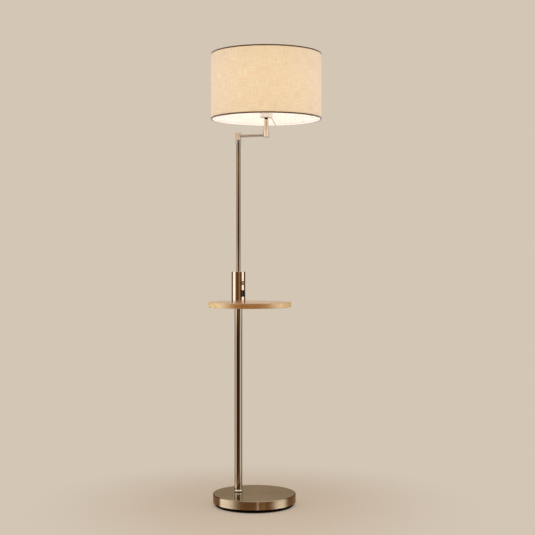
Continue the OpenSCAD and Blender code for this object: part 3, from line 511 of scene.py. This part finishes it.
def shadeWall(name, outside, thickness, lapped):
    # Two skins on one axis, joined along both edges: each is a circle of columns, repeated in
    # rows from the lower edge to the upper. The outer one goes up and the inner one comes down.
    low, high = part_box("shade_skin")
    middle = middleOf("shade_trims")
    seam = math.radians(shade["seamTurn"])
    reach = shade["seamMm"] / 1000 / outside
    # columns bunch up at the seam, where the lap climbs over the other end
    angle = seam + np.concatenate([
        np.linspace(0, 1, shade["lapColumns"]) * reach, [shade["stepEnd"] * reach],
        np.linspace(shade["evenFrom"] * reach, 2 * math.pi + shade["evenTo"] * reach,
                    shade["columns"])])
    along = np.mod(angle - seam, 2 * math.pi) / reach
    onLap = along < (1 + shade["stepEnd"]) / 2
    lap = np.where(onLap, 1.0, 0.0) * (shade["lapMm"] / 1000 if lapped else 0)
    height = np.linspace(low.z, high.z, shade["rows"])

    def side(radius):
        return np.stack([np.tile(middle.x + radius * np.cos(angle), (len(height), 1)),
                         np.tile(middle.y + radius * np.sin(angle), (len(height), 1)),
                         np.tile(height[:, None], (1, len(angle)))], axis=2)

    inner = side(np.full_like(angle, outside - thickness))
    rows = np.concatenate([side(outside + lap), inner[::-1]])
    arc = np.append(angle - seam, 2 * math.pi) * outside
    run = np.concatenate([height, height[::-1], height[:1]])
    uv = np.stack(np.meshgrid(arc, run), axis=2)
    return gridMesh(name, rows, wrapAcross=True, wrapAlong=True, uv=uv)


hem = {
    "clothMm": 0.6,
    "legMm": 4.6,        # how far the strip reaches from the edge, outside and inside
    "wireMm": 4.0,       # the ring's wire, which the strip goes round
    "foldPoints": 5,
}


def addHem(name, edge, upwards, dark, pale):
    # A strip folded round the wire: down the outside, across under the wire and up the inside.
    # The profile goes once round the strip's own thickness, with a small arc at each fold. At
    # the shade's upper edge all of it is the other way up.
    low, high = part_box("shade_trims")
    outside = (high.x - low.x) / 2
    thick, leg, wire = (hem[k] / 1000 for k in ("clothMm", "legMm", "wireMm"))
    inside = outside - thick - wire - thick - shade["clothMm"] / 1000 - shade["filmMm"] / 1000
    arc = np.linspace(0, math.pi / 2, hem["foldPoints"])
    fold = np.stack([np.cos(arc), np.sin(arc)], axis=1) * thick
    outerFold = np.array([outside - thick, thick]) + fold * [1, -1]
    innerFold = np.array([inside + thick, thick]) + fold[::-1] * [-1, -1]
    profile = np.concatenate([
        [[outside - thick, leg], [outside, leg]], outerFold, innerFold,
        [[inside, leg], [inside + thick, leg], [inside + thick, thick],
         [outside - thick, thick]]])
    heights = profile[:, 1] if upwards else -profile[:, 1]
    profile = np.stack([profile[:, 0], edge + heights], axis=1)
    if not upwards:
        profile = profile[::-1]
    strip = turned(name, profile, middleOf("shade_trims"))
    strip.data.materials.append(dark)
    strip.data.materials.append(pale)
    # painted light: the inner leg, which the bulb lights, takes the lining's pale glowing
    # material, and the rest of the strip the dark tape
    centre = np.empty(len(strip.data.polygons) * 3)
    strip.data.polygons.foreach_get("center", centre)
    flat = centre.reshape(-1, 3)[:, :2] - np.array(middleOf("shade_trims"))[:2]
    litInnerLeg = np.hypot(*flat.T) < inside + 1.2 * thick
    strip.data.polygons.foreach_set("material_index", litInnerLeg.astype(np.int32))
    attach(strip, "head")
    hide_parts("shade_trims")


def makeShade():
    low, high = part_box("shade_trims")
    outside = (high.x - low.x) / 2
    cloth, film, trim = (x / 1000 for x in (shade["clothMm"], shade["filmMm"], hem["clothMm"]))
    linen = shadeWall("shadeLinen", outside - trim, cloth, True)
    linen.data.materials.append(wovenLinen("woven linen", "c8baa6", "ded3c3", glow=0.45))
    lining = shadeWall("shadeLining", outside - trim - cloth, film, False)
    backing = styreneBacking(0.2)
    lining.data.materials.append(backing)
    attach(linen, "head")
    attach(lining, "head")
    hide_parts("shade_skin")
    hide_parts("shade_skin")
    # the tape's dark browns are partly its own tone and partly painted shade, where no bulb light
    # comes through the folded cloth
    tape = wovenLinen("dark linen tape and painted shade", "5a4029", "745436", fuzz=0.9)
    addHem("shadeHemLower", low.z, True, tape, backing)
    addHem("shadeHemUpper", high.z, False, tape, backing)


makeShade()
print("shade made")


# The studio: a pale floor, cool soft light from both sides, warm fill all round, and a room for
# the metal to mirror, which no camera or cloth sees
studio = {
    "pale": "d3c6b5",
    # two pairs of soft boxes, with the glow of the left one and of the right one
    "sides": {"bearing": 98.0, "distance": 2.4, "width": 1.3, "tall": 2.6, "middle": 1.15,
              "glow": (1.7, 1.7), "spread": 180.0, "colour": "94bcff"},
    "lowSides": {"bearing": 102.0, "distance": 0.9, "width": 0.52, "tall": 0.2, "middle": 0.72,
                 "glow": (15.8, 11.7), "spread": 60.0, "colour": "94baff"},
    "overhead": {"distance": 0.8, "height": 3.2, "aimHeight": 0.6, "size": 2.2, "glow": 1.8},
    "fill": 0.35,
    "fillColour": "ffdfb8",
    # The floor keeps most of its own shading up to near, and from far on it is the plain pale
    # tone. It lies just below the base's pad, so that the two don't share a plane.
    "floor": {"colour": "f2e0c4", "near": 0.25, "far": 0.9, "plainNear": 0.4, "height": -0.0002,
              "rings": (0.0001, 0.5, 1.5, 3, 6, 30), "sides": 64},
}
# the tall lights at the lamp's two sides, brighter below 0.9 m than above 1 m
upperLight = ((0.9, (1.64, 1.6, 1.54)), (1.0, (1.2, 1.14, 1.08)))
# What the metal mirrors, laid one over the other. A span is the bearings, or the heights in
# metres, that a band covers and how far it fades at each end. Its colours run from one height to
# the next. The base's side looks down, so it mirrors what is below -0.5, and the poles the rest.
mirroredRoom = {
    "radius": 3.0,
    "bottom": -0.9,
    "ceiling": 3.2,
    "wallTop": 2.8,      # how high the wall's rows go, one every rowStep
    "rowStep": 0.08,
    "hole": 0.001,       # left at the two poles of the bowl, too small to see
    "skirting": 0.05,    # how far the floor stops short of the wall
    # the ceiling's round corner: steps in from the wall and down from the ceiling
    "cornice": ((0.2, 0.2), (0.9, 0.02), (2.3, 0.0)),
    "bands": [
        # behind the lamp, beside it, and behind the camera
        ((-180, 180, 1, 1), (-9, 9, 1, 1), ((0.7, "a48f75"), (1.2, "e0d3c1"))),
        ((-166, 166, 5, 5), (-9, 9, 1, 1), ((-0.52, "a07f60"), (-0.46, "5a4632"))),
        ((-45, 55, 15, 10), (-9, 9, 1, 1),
         ((-0.52, "a47b5b"), (-0.46, "6a4a2b"), (0.4, "543a24"), (0.6, "795636"),
          (0.8, "795636"), (0.86, "5c4430"), (1.0, "5f4631"), (1.3, "775840"),
          (1.48, "a88058"), (1.575, "96734f"), (1.59, "14100c"), (1.66, "14100c"),
          (1.7, (2.3, 2.06, 1.74)), (2.4, (1.2, 1.14, 1.08)))),
        # lights for the poles and the housing, left and right
        ((-104, -64, 8, 12), (-0.46, 0.5, 0.01, 0.01), ((0, (1.2, 1.12, 1.04)),)),
        ((54, 100, 16, 8), (-0.46, 0.5, 0.01, 0.01), ((0, (1.15, 1.08, 1.0)),)),
        ((-100, -63, 6, 21), (0.51, 3, 0.01, 1), upperLight),
        ((68, 100, 12, 8), (0.51, 3, 0.01, 1), upperLight),
        # the light edge and the dark stand that show on the housing and the lower pole
        ((11, 17, 3, 3), (0.5, 0.95, 0.01, 0.05), ((0, "cfab85"),)),
        ((-23, -5, 4, 3), (-0.46, 0.8, 0.02, 0.05), ((0.4, "120a04"), (0.6, "6b4a2b"))),
        # lights for the base's side, and two light edges between them
        ((-103, -88, 8, 56), (-9, -0.52, 1, 0.01), ((0, (2.2, 2.1, 2.1)),)),
        ((72, 84, 26, 22), (-9, -0.52, 1, 0.01), ((0, (1.75, 1.68, 1.62)),)),
        ((8, 12, 2, 2), (-9, -0.52, 1, 0.01), ((0, (1.05, 0.84, 0.68)),)),
        ((20, 28, 4, 4), (-9, -0.52, 1, 0.01), ((0, "c09a76"),)),
        # the white ceiling
        ((-180, 180, 1, 1), (3, 9, 0.6, 1), ((0, "ffffff"),)),
    ],
}


def aroundTheObject(bearing, distance, height):
    # a bearing is measured from the camera's side, positive to the right
    angle = math.radians(bearing)
    flat = towardsCamera * math.cos(angle) + toTheRight * math.sin(angle)
    return np.array([*(flat[:2] * distance), height])


def addSoftbox(name, place, aim, width, tall, glow, spread=180.0, colour="ffffff"):
    data = bpy.data.lights.new(name, "AREA")
    data.shape, data.size, data.size_y = "RECTANGLE", width, tall
    data.energy = glow * math.pi * width * tall   # so that its face shines at this level
    data.spread = math.radians(spread)
    data.color = toLinear(colour)[:3]
    made = bpy.data.objects.new(name, data)
    bpy.context.scene.collection.objects.link(made)
    made.location = place
    back = (made.location - Vector(aim)).normalized()
    made.rotation_euler = back.to_track_quat("Z", "Y").to_euler()
    made.visible_camera = made.visible_glossy = False
    data.cycles.use_multiple_importance_sampling = False    # it would speckle the lacquer


def between(value, start, end, before, after):
    # 1 from start to end, falling smoothly to 0 over the fades before and after them
    inside = np.minimum((value - start) / before, (end - value) / after) + 1
    inside = np.clip(inside, 0, 1)
    return inside * inside * (3 - 2 * inside)


def addMirroredRoom():
    # A closed bowl from one profile spun about the lamp: a deep floor, a wall and a ceiling.
    # Each point takes its colour from its bearing and its height.
    room = mirroredRoom
    r, bottom, top, hole = (room[k] for k in ("radius", "bottom", "ceiling", "hole"))
    up = np.unique(np.concatenate([np.arange(bottom, room["wallTop"], room["rowStep"]), *(
        [h for h, tone in tones] for bearings, heights, tones in room["bands"])]))
    up = up[up > bottom]
    profile = np.array([(hole, bottom), (r - room["skirting"], bottom), *((r, h) for h in up),
                        *((r - inwards, top - down) for inwards, down in room["cornice"]),
                        (hole, top)])
    bearing = np.linspace(-180, 180, 361)    # a line of points for every degree
    radius, height = (np.repeat(c[:, None], len(bearing), axis=1) for c in profile.T)
    angle = np.radians(bearing)[None, :, None]
    flat = towardsCamera * np.cos(angle) + toTheRight * np.sin(angle)
    rows = flat * radius[:, :, None] + np.array([0, 0, 1]) * height[:, :, None]
    colour = np.zeros((*radius.shape, 3))
    for bearings, heights, tones in room["bands"]:
        weight = (between(bearing, *bearings) * between(height, *heights))[:, :, None]
        stops = [h for h, tone in tones]
        tones = np.array([toLinear(t)[:3] if isinstance(t, str) else t for h, t in tones])
        paint = np.stack([np.interp(height, stops, tone) for tone in tones.T], axis=2)
        colour = colour * (1 - weight) + paint * weight
    made = gridMesh("mirroredRoom", rows)
    paint = made.data.color_attributes.new("paint", "FLOAT_COLOR", "POINT")
    paint.data.foreach_set("color", np.concatenate([colour, np.ones((*radius.shape, 1))],
                                                   axis=2).ravel())
    material = bpy.data.materials.new("mirrored room")
    material.use_nodes = True
    material.cycles.emission_sampling = "NONE"
    tree = material.node_tree
    tree.nodes.clear()
    painted = addNode(tree, "Attribute", {"attribute_name": "paint"})
    shine = addNode(tree, "Emission", {}, {"Color": painted.outputs["Color"]})
    addNode(tree, "OutputMaterial", {}, {"Surface": shine.outputs[0]})
    made.data.materials.append(material)
    for ray in ("camera", "diffuse", "transmission", "shadow", "volume_scatter"):
        setattr(made, "visible_" + ray, False)


def addFloor():
    # rings of points round the middle of the base, all at one height
    ground = studio["floor"]
    ring, sides = np.array(ground["rings"]), ground["sides"]
    angle = np.linspace(0, 2 * math.pi, sides, endpoint=False)
    rows = np.stack([np.outer(ring, np.cos(angle)), np.outer(ring, np.sin(angle)),
                     np.full((len(ring), sides), ground["height"])], axis=2)
    floor = gridMesh("floor", rows[:, ::-1], wrapAcross=True)
    material, tree, shader = startMaterial("pale floor", ground["colour"], 0.9,
                                           Specular_IOR_Level=0.1)
    place = addNode(tree, "TexCoord", {})
    away = addNode(tree, "VectorMath", {"operation": "LENGTH"}, {0: place.outputs["Object"]})
    fade = addNode(tree, "MapRange", {"From Min": ground["near"], "From Max": ground["far"],
                                      "To Min": ground["plainNear"],
                                      "interpolation_type": "SMOOTHSTEP"},
                   {"Value": away.outputs["Value"]})
    plain = addNode(tree, "Emission", {"Color": toLinear(studio["pale"])})
    mixed = addNode(tree, "MixShader", {}, {0: fade.outputs[0], 1: shader.outputs[0],
                                            2: plain.outputs[0]})
    tree.links.new(mixed.outputs[0], tree.nodes["Material Output"].inputs["Surface"])
    floor.data.materials.append(material)
    floor.visible_glossy = False    # the mirrored room takes its place there


def lightTheWorld():
    world = bpy.data.worlds.new("studio")
    bpy.context.scene.world = world
    world.use_nodes = True
    tree = world.node_tree
    tree.nodes.clear()
    rays = addNode(tree, "LightPath", {})
    seen = addNode(tree, "Math", {"operation": "ADD"}, {0: rays.outputs["Is Camera Ray"],
                                                        1: rays.outputs["Is Glossy Ray"]})
    seen = addNode(tree, "Math", {"operation": "ADD", "use_clamp": True},
                   {0: seen.outputs[0], 1: rays.outputs["Is Transmission Ray"]})
    shown = addNode(tree, "Background", {"Color": toLinear(studio["pale"]), "Strength": 1.0})
    lighting = addNode(tree, "Background", {"Color": toLinear(studio["fillColour"]),
                                            "Strength": studio["fill"]})
    mixed = addNode(tree, "MixShader", {}, {0: seen.outputs[0], 1: lighting.outputs[0],
                                            2: shown.outputs[0]})
    addNode(tree, "OutputWorld", {}, {"Surface": mixed.outputs[0]})


def makeStudio():
    for name, box in (("softbox", studio["sides"]), ("low softbox", studio["lowSides"])):
        for side, way, glow in zip(("left ", "right "), (-1, 1), box["glow"]):
            place = aroundTheObject(way * box["bearing"], box["distance"], box["middle"])
            addSoftbox(side + name, place, (0, 0, box["middle"]), box["width"], box["tall"],
                       glow, box["spread"], box["colour"])
    overhead = studio["overhead"]
    place = aroundTheObject(0, overhead["distance"], overhead["height"])
    addSoftbox("overhead softbox", place, (0, 0, overhead["aimHeight"]), overhead["size"],
               overhead["size"], overhead["glow"])
    addMirroredRoom()
    addFloor()
    lightTheWorld()
    bpy.context.scene.view_settings.view_transform = "Standard"


makeStudio()
print("studio lit")
